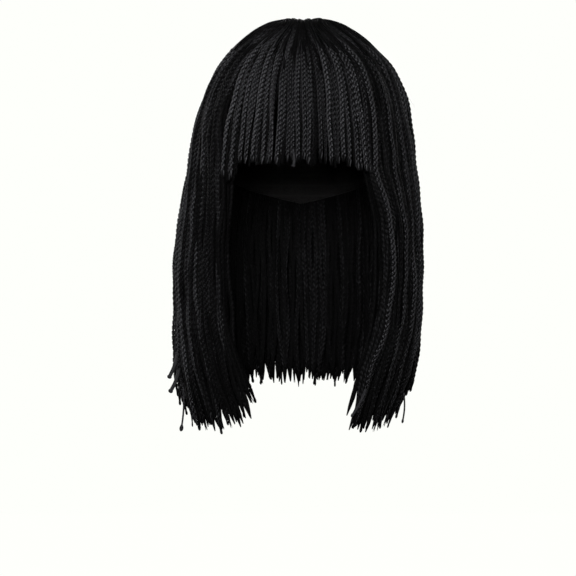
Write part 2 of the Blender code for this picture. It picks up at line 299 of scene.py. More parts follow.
def lengths_along(points):
    """The distance from the first point to each, along rows of points."""
    steps = np.linalg.norm(np.diff(points, axis=-2), axis=-1)
    return np.concatenate((0 * steps[..., :1], np.cumsum(steps, axis=-1)), axis=-1)


def even_shares(start, end, count, station):
    """Shares of the angle from start to end that put count braids at even distances."""
    fine = np.linspace(0, 1, 241)
    line = on_surface(SHELL_ROWS, np.full(fine.shape, float(station)), start + (end - start) * fine)
    along = lengths_along(line)
    return np.interp((np.arange(count) + 0.5) / count * along[-1], along, fine)


def over_bell(shape, station):
    """A bell at any stations: height times e to the minus ((station - middle) / length)^2."""
    return shape.height * np.exp(-(((np.asarray(station) - shape.middle) / shape.length) ** 2))


def front_edge(station, side):
    """The front edge of a side in degrees from the front, at any stations.

    At the parting it lies further round, by CROWN_FAN times (1 - station / FAN_END)^1.5. Below
    it it is gathered towards the front, so that the braids arch out of the parting.
    """
    known = np.arange(len(FRONT_EDGES[side])) + SEAM_STATION
    fan = CROWN_FAN * np.clip(1 - np.asarray(station) / FAN_END, 0, 1) ** 1.5
    edge = np.interp(station, known, FRONT_EDGES[side]) + fan
    return edge * (1 - over_bell(GATHER, station))


def station_at_drop(drop):
    """The stations where the shell hangs this far below the top of the head."""
    drops = -SHELL_ROWS[TOP_OF_HEAD_STATION:, 0]
    return TOP_OF_HEAD_STATION + np.interp(drop, drops, np.arange(len(drops)))


def tip_drops(angle):
    """How far the tips at these angles hang below the top of the head."""
    turned = np.minimum(np.abs(angle), 360 - np.abs(angle))
    known, left, right = np.array(TIPS).T
    drops = np.where(angle < 0, np.interp(turned, known, left), np.interp(turned, known, right))
    return drops * HAIR_DROP


def fringe_drops(across):
    """How far the fringe's tips hang below the top of the head, at shares from left to right."""
    known, drops = np.array(FRINGE_LINE).T
    return np.interp(across, known, drops)


# One set of braids. Its edges are a function of the station, shares are how far round between
# them each braid hangs, and first and tips are stations. depth, sink, smooth, tuft, wander, flick
# and sweep are in metres, roll is in radians, and the others but ring_turn are shares.
BraidSet = namedtuple(
    "BraidSet",
    "edges shares first tips root_depth sink depth root_width smooth ring_turn tuft wander roll"
    " edge_on flick sweep taper dim_end",
)


def wave(rng, count, arc, wavelength):
    """One gentle random wave for each braid along its length, between -1 and 1.

    It is 0.7 of a sine of the wavelength, stretched a little, and 0.3 of a shorter one.
    """
    phase = rng.uniform(0, 2 * math.pi, (count, 1))
    stretch = rng.uniform(0.8, 1.3, (count, 1))
    main = np.sin(2 * math.pi * arc / (wavelength * stretch) + phase)
    return 0.7 * main + 0.3 * np.sin(5.1 * arc / wavelength * stretch * math.pi + 2 * phase)


def set_in(arc, over):
    """0 at the root, rising straight to 1 at this many metres along."""
    return np.clip(arc / over, 0, 1)


def near_tip(arc, length, over):
    """1 at the tip, falling straight to 0 at this many metres before it."""
    return np.clip(1 - (length - arc) / over, 0, 1)


def between(edges, station, shares):
    """The angles at these shares of the way from one edge of a group to the other."""
    start, end = edges(station)
    return start + (end - start) * shares


def follow(braids, steps):
    """Stations, arc lengths and mean reach of a set's plain paths, before they wander."""
    fine = np.linspace(0, 1, steps)[None, :]
    station = braids.first[:, None] + (braids.tips - braids.first)[:, None] * fine
    angle = between(braids.edges, station, braids.shares[:, None])
    points, _ = hair_points(station, angle, np.full(station.shape, 0.002))
    return station, lengths_along(points), np.linalg.norm(points[:, steps // 2, :2], axis=1)


def place_rings(braids, rng, station, along, reach, arc):
    """Points of a set at these arc lengths, and the way out of the hair.

    A braid leaves its plain path by gentle waves to the side and in depth, sweeps aside and
    flicks out towards its tip, and comes up from its root depth over the sink length.
    """
    count = len(braids.shares)
    length = along[:, -1:]
    at = np.stack([np.interp(arc[i], along[i], station[i]) for i in range(count)])
    free = set_in(arc, WANDER_START)
    drift = braids.wander * free * wave(rng, count, arc, SIDE_WAVE)
    drift = drift + braids.wander * 1.3 * rng.normal(0, 1, (count, 1)) * (arc / length) ** 2
    drift = drift + braids.sweep[:, None] * near_tip(arc, length, SWEEP_END) ** 2
    angle = between(braids.edges, at, braids.shares[:, None])
    angle = angle + np.degrees(drift / np.maximum(reach, 0.05)[:, None])
    thickness = np.linalg.norm(hair_layer(at, angle)[1], axis=-1)
    sunk = np.clip(1 - arc / braids.sink, 0, 1) ** 1.5
    depth = braids.depth[:, None] + DEPTH_SWAY * free * wave(rng, count, arc, DEPTH_WAVE)
    depth = depth + (braids.root_depth * thickness - depth) * sunk
    depth = np.minimum(depth, thickness - LEAST_COVER)
    depth = depth - braids.flick[:, None] * near_tip(arc, length, FLICK_END) ** 2
    depth = depth - over_bell(CROWN_LIFT, at) * np.abs(np.sin(np.radians(angle)))
    return hair_points(at, angle, depth)


def lay_paths(braids, rng):
    """Paths of a set of plaits: (points, out, arc, length, ring numbers) at every ring.

    Rings stand every few millimetres on the smooth root, then ring_turn to each turn of the
    plait, then four close together on the tuft.
    """
    count = len(braids.shares)
    station, along, reach = follow(braids, 181)
    length = along[:, -1:]
    plaited = float(np.mean(length)) - braids.smooth - braids.tuft
    root_rings = max(3, round(braids.smooth / 0.004))
    rings = max(4, round(plaited / bpy.context.scene.wig_sizes.pitch * braids.ring_turn))
    root = np.linspace(0, 1, root_rings, endpoint=False)[None, :] * braids.smooth
    middle = np.linspace(0, 1, rings + 1)[None, :] * (length - braids.smooth - braids.tuft)
    last = length - braids.tuft + np.array([[0.3, 0.6, 0.85, 1.0]]) * braids.tuft
    arc = np.concatenate((np.repeat(root, count, 0), braids.smooth + middle, last), axis=1)
    ring = np.concatenate((np.zeros(root_rings), np.arange(rings + 1), np.full(4, rings)))
    points, out = place_rings(braids, rng, station, along, reach, arc)
    return points, out, arc, length, ring


def path_frame(points, out):
    """The directions to the side of paths and away from the head, at every ring."""
    run = unit(np.gradient(points, axis=1))
    side = unit(np.cross(run, out))
    return side, np.cross(side, run)


def round_ring(side, front, broad, deep, sides):
    """Points round a path: broad cos(turn) to the side and deep sin(turn) to the front."""
    turn = 2 * math.pi * np.arange(sides) / sides
    ring = broad * np.cos(turn)[:, None] * side[..., None, :]
    return ring + deep * np.sin(turn)[:, None] * front[..., None, :]


def braid_widths(rng, count, wide, least, most):
    """The width of each braid in metres: the usual one times wide and a random share."""
    return wide * bpy.context.scene.wig_sizes.braid_width * rng.uniform(least, most, (count, 1))


def filling(braids, rng, shades=(0.0, 0.12), wide=1.0, sides=5, spacing=0.007):
    """Plain oval tubes for braids that lie deep in the hair; their plait is in the material."""
    count = len(braids.shares)
    station, along, reach = follow(braids, 61)
    length = along[:, -1:]
    rings = max(6, round(float(np.mean(length)) / spacing))
    arc = length * np.linspace(0, 1, rings)[None, :]
    points, out = place_rings(braids, rng, station, along, reach, arc)
    size = braid_widths(rng, count, wide, 0.9, 1.1)
    size = size * (1 - 0.8 * near_tip(arc, length, FILLING_END))
    oval = round_ring(*path_frame(points, out), 0.5, 0.36, sides)
    skin = points[:, :, None, :] + size[:, :, None, None] * oval
    # Low shades: painted shade on tubes that lie deep in the hair
    shade = np.broadcast_to(rng.uniform(*shades, (count, 1, 1)), skin.shape[:3])
    return tubes(skin, shade, arc)


# The shape of a braid's end, from its last full turn to its tip: how wide the strands swing and
# how thick they are, as shares, where they close in a knot and where they fan out
End = namedtuple("End", "share knot_reach knot_fat fan_reach fan_fat")
ENDS = (
    End(0.00, 1.00, 1.00, 1.00, 1.00),
    End(0.30, 0.80, 0.90, 0.80, 0.80),
    End(0.60, 0.45, 0.80, 0.60, 0.60),
    End(0.85, 0.50, 1.15, 0.80, 0.35),
    End(1.00, 0.25, 0.60, 1.00, 0.10),
)


def turned_frames(braids, rng, points, out, arc):
    """The ways across and ahead of each braid, turned about its path by a random angle.

    The angle is the set's roll, or a quarter turn more for a braid on edge, and a slow wave.
    """
    count = len(arc)
    side, front = path_frame(points, out)
    on_edge = 0.5 * math.pi * (rng.random((count, 1)) < braids.edge_on)
    twist = rng.normal(0, braids.roll, (count, 1)) + on_edge
    roll = twist * np.clip((arc - 0.02) / TWIST_START, 0, 1)
    roll = roll + TURN_SWAY * wave(rng, count, arc, TURN_WAVE) * set_in(arc, TURN_START)
    cos, sin = np.cos(roll)[..., None], np.sin(roll)[..., None]
    return cos * side + sin * front, cos * front - sin * side


def plait(braids, rng, tones=(0.4, 1.0), wide=1.0, fanned=0.3, root_tone=0.45, sides=4):
    """Three strands for each braid of a set, joined in one mesh.

    Each braid's tone lies between the two given, times root_tone at the parting, which paints
    shade there below 1 and light above 1, and a share of the braids fans out at the tip. Painted
    highlights lie on the crests of the lobes, and painted shade in their creases, towards the
    tips, on deeper braids and on the sides where strands face their neighbours.

    Strand k at turn angle p runs a sin(p + k/3 turn) to the side and b sin(2(p + k/3 turn))
    outwards, so that it crosses the middle in front on its way out and behind on its way in.
    Each strand is an oval of a few sides carried along that line.
    """
    points, out, arc, length, ring = lay_paths(braids, rng)
    count, rings = arc.shape
    across, ahead = turned_frames(braids, rng, points, out, arc)

    grown = set_in(arc, WIDTH_START)
    grown = braids.root_width + (1 - braids.root_width) * grown * grown * (3 - 2 * grown)
    at_tip = near_tip(arc, length, TAPER_END)
    size = braid_widths(rng, count, wide, 0.9, 1.08) * grown * (1 - braids.taper * at_tip)
    woven = np.clip((arc - braids.smooth + WEAVE_START / 2) / WEAVE_START, 0, 1)
    to_tip = np.clip((arc - length + braids.tuft) / braids.tuft, 0, 1)
    share, *shapes = np.array(ENDS).T
    knot_reach, knot_fat, fan_reach, fan_fat = (np.interp(to_tip, share, end) for end in shapes)
    fan = rng.random((count, 1)) < fanned
    reach = size * REACH * np.where(fan, fan_reach, knot_reach)
    fat = size * FAT * np.where(fan, fan_fat, knot_fat)
    lift = size * LIFT * (0.25 + 0.75 * woven) * (1 - 0.7 * to_tip)

    turn = 2 * math.pi * ring / braids.ring_turn + math.pi / 6
    strand = np.arange(STRANDS) * 2 * math.pi / STRANDS
    phase = turn[None, :, None] + strand[None, None, :]
    x = reach[..., None] * np.sin(phase)
    y = lift[..., None] * np.sin(2 * phase)
    centre = points[:, :, None, :] + x[..., None] * across[:, :, None, :]
    centre = centre + y[..., None] * ahead[:, :, None, :]

    oval = round_ring(*path_frame(centre, ahead[:, :, None, :]), 1.1, 0.95, sides)
    skin = centre[:, :, :, None, :] + fat[:, :, None, None, None] * oval
    # Painted highlight on each lobe's crest and painted shade in its creases; the smooth root has a
    # dim even tone
    crest = ROOT_SHADE + woven[..., None] * (np.abs(np.sin(2 * phase)) ** CREST_POWER - ROOT_SHADE)
    # Painted shade darkens each braid towards its tip, and more over its tuft
    ends = ((1 - braids.dim_end * at_tip) * (1 - 0.75 * to_tip))[..., None]
    # Painted shade: a braid is darker the deeper it lies below the shell
    under = np.clip(1 - 110 * (braids.depth - 0.002), 0.35, 1)[:, None, None]
    # Painted tone near the parting: shade where root_tone is below 1, light where it is above 1
    painted_crown_tone = (root_tone + (1 - root_tone) * set_in(arc, ROOT_TONE_LENGTH))[..., None]
    shade = rng.uniform(*tones, (count, 1, 1)) * under * painted_crown_tone * ends * crest
    # Painted shade on the sides of each strand that face its neighbours
    facing = np.abs(np.sin(2 * math.pi * np.arange(sides) / sides))
    shade = shade[..., None] * (NEIGHBOUR_SHADE + (1 - NEIGHBOUR_SHADE) * facing)
    skin = np.moveaxis(skin, 1, 2).reshape(count * STRANDS, rings, sides, 3)
    shade = np.moveaxis(shade, 1, 2).reshape(count * STRANDS, rings, sides)
    return tubes(skin, shade, np.repeat(arc, STRANDS, axis=0))


def tubes(skin, shade, arc):
    """Closed tubes from rings of points, as (vertices, faces, uvs, shades).

    skin is tubes by rings by sides; u runs once round a tube and v is metres along it.
    """
    count, rings, sides, _ = skin.shape
    number = np.arange(count * rings * sides).reshape(count, rings, sides)
    after = np.roll(number, -1, axis=2)
    quads = np.stack((number[:, :-1], after[:, :-1], after[:, 1:], number[:, 1:]), axis=-1)
    u0 = np.broadcast_to(np.arange(sides) / sides, (count, rings - 1, sides))
    u1 = u0 + 1 / sides
    v0 = np.broadcast_to(arc[:, :-1, None], u0.shape)
    v1 = np.broadcast_to(arc[:, 1:, None], u0.shape)
    corners = np.stack((u0, v0, u1, v0, u1, v1, u0, v1), axis=-1)
    head = number[:, 0, ::-1]
    tail = number[:, -1, :]
    flat = skin.reshape(-1, 3), quads.reshape(-1, 4), corners.reshape(-1, 2)
    return *flat, head, tail, shade.ravel()


# Loose ends that stand off the hair: where each starts and ends, its radius and its knot's
Stray = namedtuple("Stray", "start end radius knot")
STRAYS = (
    Stray((-0.1, -0.03, -0.3), (-0.102, -0.032, -0.3375), 0.00075, 0.0017),
    Stray((-0.1055, -0.02, -0.272), (-0.113, -0.022, -0.2935), 0.0016, 0.002),
    Stray((-0.104, -0.028, -0.286), (-0.1115, -0.032, -0.305), 0.0016, 0.0021),
    Stray((0.085, -0.04, -0.305), (0.0835, -0.042, -0.33), 0.0007, 0.001),
    Stray((0.052, -0.07, -0.3), (0.04, -0.073, -0.323), 0.0013, 0.0014),
    Stray((-0.008, -0.0945, -0.106), (-0.008, -0.0962, -0.119), 0.0011, 0.0019),
)
STRAY_BEND = 0.0012
STRAY_SHADE = 0.25
FLYAWAYS = 16
FLYAWAY_RADIUS = 0.00016


def cords(points, radii, sides=6):
    """Round cords along rows of points, with a radius at each point."""
    ring = round_ring(*path_frame(points, (0.0, 1.0, 0.01)), 1.0, 1.0, sides)
    skin = points[:, :, None, :] + radii[:, :, None, None] * ring
    shade = np.full(skin.shape[:3], STRAY_SHADE)
    arc = np.broadcast_to(0.01 * np.arange(points.shape[1]), points.shape[:2])
    return tubes(skin, shade, arc)


def stray_cords():
    """The loose ends: straight lines bent by half a sine, with an elliptic knot at the end."""
    t = np.concatenate((np.linspace(0, 0.85, 9), np.linspace(0.88, 1, 6)))
    start, end, thin, knot = (np.array(column)[:, None] for column in zip(*STRAYS))
    line = start + (end - start) * t[None, :, None]
    line = line + STRAY_BEND * np.sin(math.pi * t)[None, :, None] * (1.0, 0.0, 0.0)
    round_end = np.sqrt(np.clip(1 - ((t - 0.93) / 0.075) ** 2, 0.02, 1))
    return cords(line, np.where(t > 0.87, knot * round_end, thin))


def flyaway_fibres(rng):
    """Single fibres that lift off the shell with the square of the way along them."""
    t = np.linspace(0, 1, 12)[None, :]
    station = rng.uniform(4.5, 13.0, (FLYAWAYS, 1)) + rng.uniform(0.6, 1.5, (FLYAWAYS, 1)) * t
    angle = rng.uniform(45, 315, (FLYAWAYS, 1)) + rng.normal(0, 3, (FLYAWAYS, 1)) * t**2
    angle = np.where(angle > 180, angle - 360, angle)
    depth = 0.0015 - rng.uniform(0.002, 0.006, (FLYAWAYS, 1)) * t**2
    points, _ = hair_points(station, angle, depth)
    return cords(points, FLYAWAY_RADIUS * (1.05 - t) * np.ones((FLYAWAYS, 1)), sides=4)


def new_object(name, data):
    """A new object in the scene."""
    made = bpy.data.objects.new(name, data)
    bpy.context.scene.collection.objects.link(made)
    return made


def mesh_object(name, parts, material):
    """One object from several groups of tubes, with its faces pointing out.

    Six times a group's volume is the sum of a . (b x c) over its triangles: where that is less
    than nothing, the faces are turned round.
    """
    vertices, faces, uvs, shades = [], [], [], []
    base = 0
    for skin, quads, corners, head, tail, shade in parts:
        a, b, c, d = (skin[quads[:, i]] for i in range(4))
        volume = np.sum(np.cross(a, b) * c) + np.sum(np.cross(a, c) * d)
        if volume < 0:
            quads = quads[:, ::-1]
            corners = corners.reshape(-1, 4, 2)[:, ::-1].reshape(-1, 2)
            head, tail = head[:, ::-1], tail[:, ::-1]
        vertices.append(skin)
        for group in (quads, head, tail):
            faces.extend((group + base).tolist())
        uvs.append(corners)
        uvs.append(np.full((head.size + tail.size, 2), 0.5))
        shades.append(shade)
        base += len(skin)
    mesh = bpy.data.meshes.new(name)
    mesh.from_pydata(np.concatenate(vertices).tolist(), [], faces)
    layer = mesh.uv_layers.new(name="UVMap")
    layer.data.foreach_set("uv", np.concatenate(uvs).astype(np.float32).ravel())
    # braid_shade holds each braid's random tone and its painted light and shade
    shade_layer = mesh.attributes.new("braid_shade", "FLOAT", "POINT")
    shade_layer.data.foreach_set("value", np.concatenate(shades).astype(np.float32))
    mesh.shade_smooth()
    mesh.materials.append(material)
    if mesh.validate():
        raise RuntimeError(f"{name} has faces that don't hold")
    return new_object(name, mesh)


def hair_piece(name, parts, *nodes, finish="braided_hair"):
    """Makes a piece of hair from groups of tubes and seats it in the frame."""
    piece = mesh_object(name, parts, material(finish))
    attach(piece, "root")
    if nodes:
        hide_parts(*nodes)


# The three rows of braids of one outer group: every third braid starts at the parting, and the
# others come out from under them further down
Row = namedtuple("Row", "offset first root_depth sink smooth")
ROWS = (
    Row(0, 0.15, 0.35, 0.014, 0.072),
    Row(1, 2.6, 0.80, 0.040, 0.048),
    Row(2, 4.4, 0.85, 0.045, 0.036),
)

# What holds for every outer set, and for every one further in
OUTER = dict(
    root_width=0.62, tuft=0.010, wander=0.0016, roll=0.4, edge_on=0.5, taper=0.25, dim_end=0.45
)
DEEP = dict(
    root_width=0.8, tuft=0.012, wander=0.0018, roll=0.5, edge_on=0.3, taper=0.2, dim_end=0.8,
    root_depth=0.9, sink=0.03, smooth=0.02,
)

# Rings to a full turn of the strands, behind and in front
COARSE_RINGS = 6
FINE_RINGS = 9

# The station where the braids of a group hang at even distances
EVEN_STATION = 11.0
FRINGE_EVEN_STATION = 9.0

# How ragged the fringe's tips are, and how long its tufts
FRINGE_RAGGED = 0.0015
FRINGE_TUFT = 0.005


def shares_of(edges, count):
    """The shares of the way from edge to edge at which a group's braids hang."""
    return even_shares(*edges(EVEN_STATION), count, EVEN_STATION)


def outer_sets(edges, count, tips_of, rng, ring_turn, keep=slice(None), clump=0.30):
    """The three rows of an outer group as sets.

    keep picks a stretch of its braids. clump is how far they are pushed together, as a share of
    their distance: a sine of their number and a random part.
    """
    shares = shares_of(edges, count)
    numbers = np.arange(count)[keep]
    sets = []
    for row in ROWS:
        chosen = numbers[numbers % 3 == row.offset]
        shift = clump * (np.sin(2.35 * chosen + 1.0) + rng.normal(0, 0.53, len(chosen))) / count
        picked = np.clip(shares[chosen] + shift, 0.3 / count, 1 - 0.3 / count)
        first = row.first + rng.uniform(-0.12, 0.25, len(chosen))
        low = 0.0018 + rng.choice((0, 0.0016, 0.0034), len(chosen))
        braids = BraidSet(
            edges=edges,
            shares=picked,
            first=np.maximum(first, 0.05),
            tips=tips_of(picked, rng),
            root_depth=row.root_depth,
            sink=row.sink,
            depth=low,
            smooth=row.smooth,
            ring_turn=ring_turn,
            flick=rng.normal(0, 0.0012, len(chosen)),
            sweep=rng.normal(0, 0.003, len(chosen)),
            **OUTER,
        )
        sets.append(braids)
    return sets


def deep_set(edges, count, tips_of, rng, first, depth):
    """Braids of a layer further in, all from about the same height on the cap."""
    shares = shares_of(edges, count)
    return BraidSet(
        edges=edges,
        shares=shares,
        first=first + rng.uniform(0, 0.4, count),
        tips=tips_of(shares, rng),
        depth=depth + rng.uniform(-0.0007, 0.0007, count),
        ring_turn=COARSE_RINGS,
        flick=np.zeros(count),
        sweep=rng.normal(0, 0.004, count),
        **DEEP,
    )


# The layers between the outer and the inner braids: where they start, how deep they lie and how
# much shorter they end
Layer = namedtuple("Layer", "first root_depth depth shorter")
FILLING_LAYERS = (
    Layer(0.02, 0.45, 0.0057, 0.001),
    Layer(1.50, 0.90, 0.0092, 0.004),
    Layer(6.50, 0.90, 0.0170, 0.008),
)


def side_edges(side):
    """The front and rear edges of one side in signed degrees, at any stations."""
    sign = -1.0 if side == "left" else 1.0

    def edges(station):
        gap = over_bell(SIDE_GAP, station) if side == "left" else 0.0
        rear = sign * BACK_SEAM + 0.0 * np.asarray(station)
        return sign * (front_edge(station, side) + gap), rear

    return edges


def back_edges(station):
    """The left and right edges of the back in degrees, the same at every station."""
    zero = 0.0 * np.asarray(station)
    return zero + BACK_SEAM, zero + 360.0 - BACK_SEAM


def wide_back_edges(station):
    """The back with a little of both sides, to close the seams behind them."""
    start, end = back_edges(station)
    return start - SEAM_OVERLAP, end + SEAM_OVERLAP


def fringe_shares(count):
    """The shares at which the fringe's inner braids hang, even near its lower edge."""
    left, right = FRONT_EDGES["left"][0], FRONT_EDGES["right"][0]
    return even_shares(-left, right, count, FRINGE_EVEN_STATION)


def fringe_edges(station):
    """The left and right edges of the fringe in signed degrees, at any stations."""
    gap = over_bell(FRINGE_GAP, station)
    return gap - front_edge(station, "left"), front_edge(station, "right")


def free_tips(edges, shorter=0.0, ragged=0.0022):
    """A function that gives the stations where the braids with these shares end."""

    def tips(shares, rng):
        drop = tip_drops(between(edges, LAST_STATION, shares))
        drop = drop - shorter + rng.normal(0, ragged, len(shares))
        drop = drop - rng.exponential(ragged, len(shares))
        return station_at_drop(np.minimum(drop, HAIR_DROP))

    return tips


def fringe_tips(shares, rng):
    """The stations where the fringe's braids end, a little ragged."""
    return station_at_drop(fringe_drops(shares) + rng.normal(0, FRINGE_RAGGED, len(shares)))


def crown_tips(shares, rng):
    """The stations where the smooth hair of the crown ends."""
    return CROWN_END + rng.uniform(-0.4, 0.6, len(shares))


class WigSizes(bpy.types.PropertyGroup):
    """Sizes and colours of the braids."""

    braid_width: bpy.props.FloatProperty(
        name="Braid width", description="Width of one plaited braid",
        default=0.0045, min=0.002, max=0.01, subtype="DISTANCE",
    )
    pitch: bpy.props.FloatProperty(
        name="Plait pitch", description="Length of one full turn of the three strands",
        default=0.0132, min=0.005, max=0.03, subtype="DISTANCE",
    )
    side_braids: bpy.props.IntProperty(
        name="Side braids", description="Outer braids on each side",
        default=36, min=6, max=60,
    )
    back_braids: bpy.props.IntProperty(
        name="Back braids", description="Outer braids behind the head",
        default=42, min=6, max=60,
    )
    fringe_braids: bpy.props.IntProperty(
        name="Fringe braids", description="Outer braids over the forehead",
        default=30, min=6, max=45,
    )
    hair_colour: bpy.props.FloatVectorProperty(
        name="Hair colour", description="Colour of the braided fibre",
        default=(0.0115, 0.0115, 0.0124), subtype="COLOR",
    )
    cap_colour: bpy.props.FloatVectorProperty(
        name="Cap colour", description="Colour of the knitted cap",
        default=(0.0050, 0.0047, 0.0047), subtype="COLOR",
    )


class WigStage(bpy.types.PropertyGroup):
    """The studio round the wig."""

    floor_height: bpy.props.FloatProperty(
        name="Floor height", description="Height of the floor below the wig's crown",
        default=-1.7, subtype="DISTANCE",
    )
    floor_colour: bpy.props.FloatVectorProperty(
        name="Floor colour", description="Colour of the floor",
        default=(0.25, 0.25, 0.245), subtype="COLOR",
    )
    key_power: bpy.props.FloatProperty(
        name="Key light power", description="Power of the large soft light in front",
        default=4.1, min=0.0, subtype="POWER",
    )


def new_material(name):
    """A new material and its node tree."""
    made = bpy.data.materials.new(name)
    made.use_nodes = True
    return made, made.node_tree


def set_inputs(tree, node, inputs):
    """Sets a node's inputs: a socket is linked and anything else is its value."""
    for name, value in inputs.items():
        if isinstance(value, bpy.types.NodeSocket):
            tree.links.new(value, node.inputs[name])
        else:
            node.inputs[name].default_value = value


def add_node(tree, kind, inputs, **settings):
    """A new shader node with these inputs and settings."""
    made = tree.nodes.new("ShaderNode" + kind)
    for name, value in settings.items():
        setattr(made, name, value)
    set_inputs(tree, made, inputs)
    return made


def math_node(tree, operation, *values):
    """The result of a math node on one or two sockets or numbers."""
    return add_node(tree, "Math", dict(enumerate(values)), operation=operation).outputs["Value"]


def map_range(tree, value, before, after):
    """A value carried from the range before onto the range after."""
    names = ("Value", "From Min", "From Max", "To Min", "To Max")
    made = add_node(tree, "MapRange", dict(zip(names, (value, *before, *after))))
    return made.outputs["Result"]


def two_tones(tree, value, colour, dark, light, start=0.0):
    """From dark times a colour to light times it, as the value goes from start to 1."""
    ramp = add_node(tree, "ValToRGB", {"Fac": value})
    low, high = ramp.color_ramp.elements
    low.position, high.position = start, 1.0
    low.color = (*(dark * c for c in colour), 1.0)
    high.color = (*(light * c for c in colour), 1.0)
    return ramp.outputs["Color"]


def bump_normal(tree, height, strength, distance):
    """The normal of a surface with a bump of this height."""
    inputs = {"Height": height, "Strength": strength, "Distance": distance}
    return add_node(tree, "Bump", inputs).outputs["Normal"]


def plait_relief(tree, place):
    """Height of a plait drawn on a plain tube, from 0 in its creases to 1 on its lobes.

    With x the cosine of the way round, and p the metres along over the pitch, it is
    |sin(pi (3p + |x|/2 + 1/2 where x > 0))|, less in the groove where x is near 0.
    """
    parts = add_node(tree, "SeparateXYZ", {"Vector": place})
    x = math_node(tree, "COSINE", math_node(tree, "MULTIPLY", parts.outputs["X"], 2 * math.pi))
    aside = math_node(tree, "ABSOLUTE", x)
    both = math_node(tree, "ADD", aside, math_node(tree, "GREATER_THAN", x, 0.0))
    pitch = bpy.context.scene.wig_sizes.pitch
    along = math_node(tree, "MULTIPLY", parts.outputs["Y"], 3 / pitch)
    phase = math_node(tree, "ADD", along, math_node(tree, "MULTIPLY", both, 0.5))
    swing = math_node(tree, "SINE", math_node(tree, "MULTIPLY", phase, math.pi))
    lobes = math_node(tree, "ABSOLUTE", swing)
    drawn = math_node(tree, "MINIMUM", lobes, math_node(tree, "MULTIPLY", aside, 3.0))
    begun = map_range(tree, parts.outputs["Y"], DRAWN_START, (0.0, 1.0))
    return math_node(tree, "MULTIPLY", drawn, begun)


# The fibre's colour under the painted shade of the creases and the painted highlight of the
# crests, as shares of the hair's, the tone at which it begins to lighten, and how much its fine
# lines add to the tone
CREASE_TONE = 0.05
CREST_TONE = 5.3
TONE_START = 0.30
FIBRE_LINES = 0.4

# Metres along a plain tube between which its drawn plait sets in
DRAWN_START = (0.04, 0.08)


def hair_material(name, colour, drawn_plait):
    """Satin synthetic fibre, with fine lines along each strand.

    It carries a painted highlight on the crests of the lobes and painted shade in the creases,
    is glossier on the crests, and each braid has its own grey, with its painted light and shade
    from braid_shade.
    """
    made, tree = new_material(name)
    place = add_node(tree, "UVMap", {}, uv_map="UVMap").outputs["UV"]
    stretched = add_node(tree, "Mapping", {"Vector": place, "Scale": (9.0, 160.0, 1.0)})
    noise = {"Vector": stretched.outputs["Vector"], "Scale": 1.6, "Detail": 3.0, "Roughness": 0.6}
    fibres = add_node(tree, "TexNoise", noise).outputs["Fac"]
    tone = add_node(tree, "Attribute", {}, attribute_name="braid_shade").outputs["Fac"]
    height = fibres
    strength, distance = 0.2, 0.0002
    if drawn_plait:
        relief = plait_relief(tree, place)
        # The drawn plait paints highlights on its lobes and shade in its creases
        tone = math_node(tree, "MULTIPLY", tone, math_node(tree, "ADD", relief, 0.4))
        height = math_node(tree, "ADD", math_node(tree, "MULTIPLY", relief, 3.0), height)
        strength, distance = 0.5, 0.0003
    painted_shade_and_fibres = math_node(tree, "ADD", tone, math_node(tree, "MULTIPLY", fibres, FIBRE_LINES))
    finish = {
        "IOR": 1.45,
        "Specular IOR Level": 0.05,
        "Base Color": two_tones(tree, painted_shade_and_fibres, colour, CREASE_TONE, CREST_TONE, TONE_START),
        "Roughness": map_range(tree, painted_shade_and_fibres, (0.2, 1.2), (0.85, 0.34)),
        "Normal": bump_normal(tree, height, strength, distance),
    }
    set_inputs(tree, tree.nodes["Principled BSDF"], finish)
    return made


def cap_material(colour):
    """Fine knitted net with raised rows where the braids are sewn on."""
    made, tree = new_material("cap_net")
    place = add_node(tree, "TexCoord", {}).outputs["Object"]
    net = {"Vector": place, "Scale": 620.0}
    cells = add_node(tree, "TexVoronoi", net, feature="DISTANCE_TO_EDGE").outputs["Distance"]
    sewn = {"Vector": place, "Scale": 34.0, "Distortion": 0.6}
    rows = add_node(tree, "TexWave", sewn, wave_type="BANDS", bands_direction="Z").outputs["Fac"]
    ridge = math_node(tree, "POWER", rows, 5.0)
    threads = map_range(tree, cells, (0.0, 0.25), (1.0, 0.0))
    height = math_node(tree, "MAXIMUM", ridge, threads)
    finish = {
        "Roughness": 0.85,
        "Specular IOR Level": 0.1,
        "Base Color": two_tones(tree, height, colour, 0.4, 1.6),
        "Normal": bump_normal(tree, height, 0.6, 0.0004),
    }
    set_inputs(tree, tree.nodes["Principled BSDF"], finish)
    return made


def material(name):
    """The finished material of this name, made on first use."""
    for found in bpy.data.materials:
        if found.get("wig_finish") == name:
            return found
    sizes = bpy.context.scene.wig_sizes
    if name in ("braided_hair", "deep_hair"):
        made = hair_material(name, tuple(sizes.hair_colour), name == "deep_hair")
    else:
        made = cap_material(tuple(sizes.cap_colour))
    made["wig_finish"] = name
    return made


FRINGE_UNDER_BRAIDS = 26
FRINGE_FILLING_BRAIDS = 30


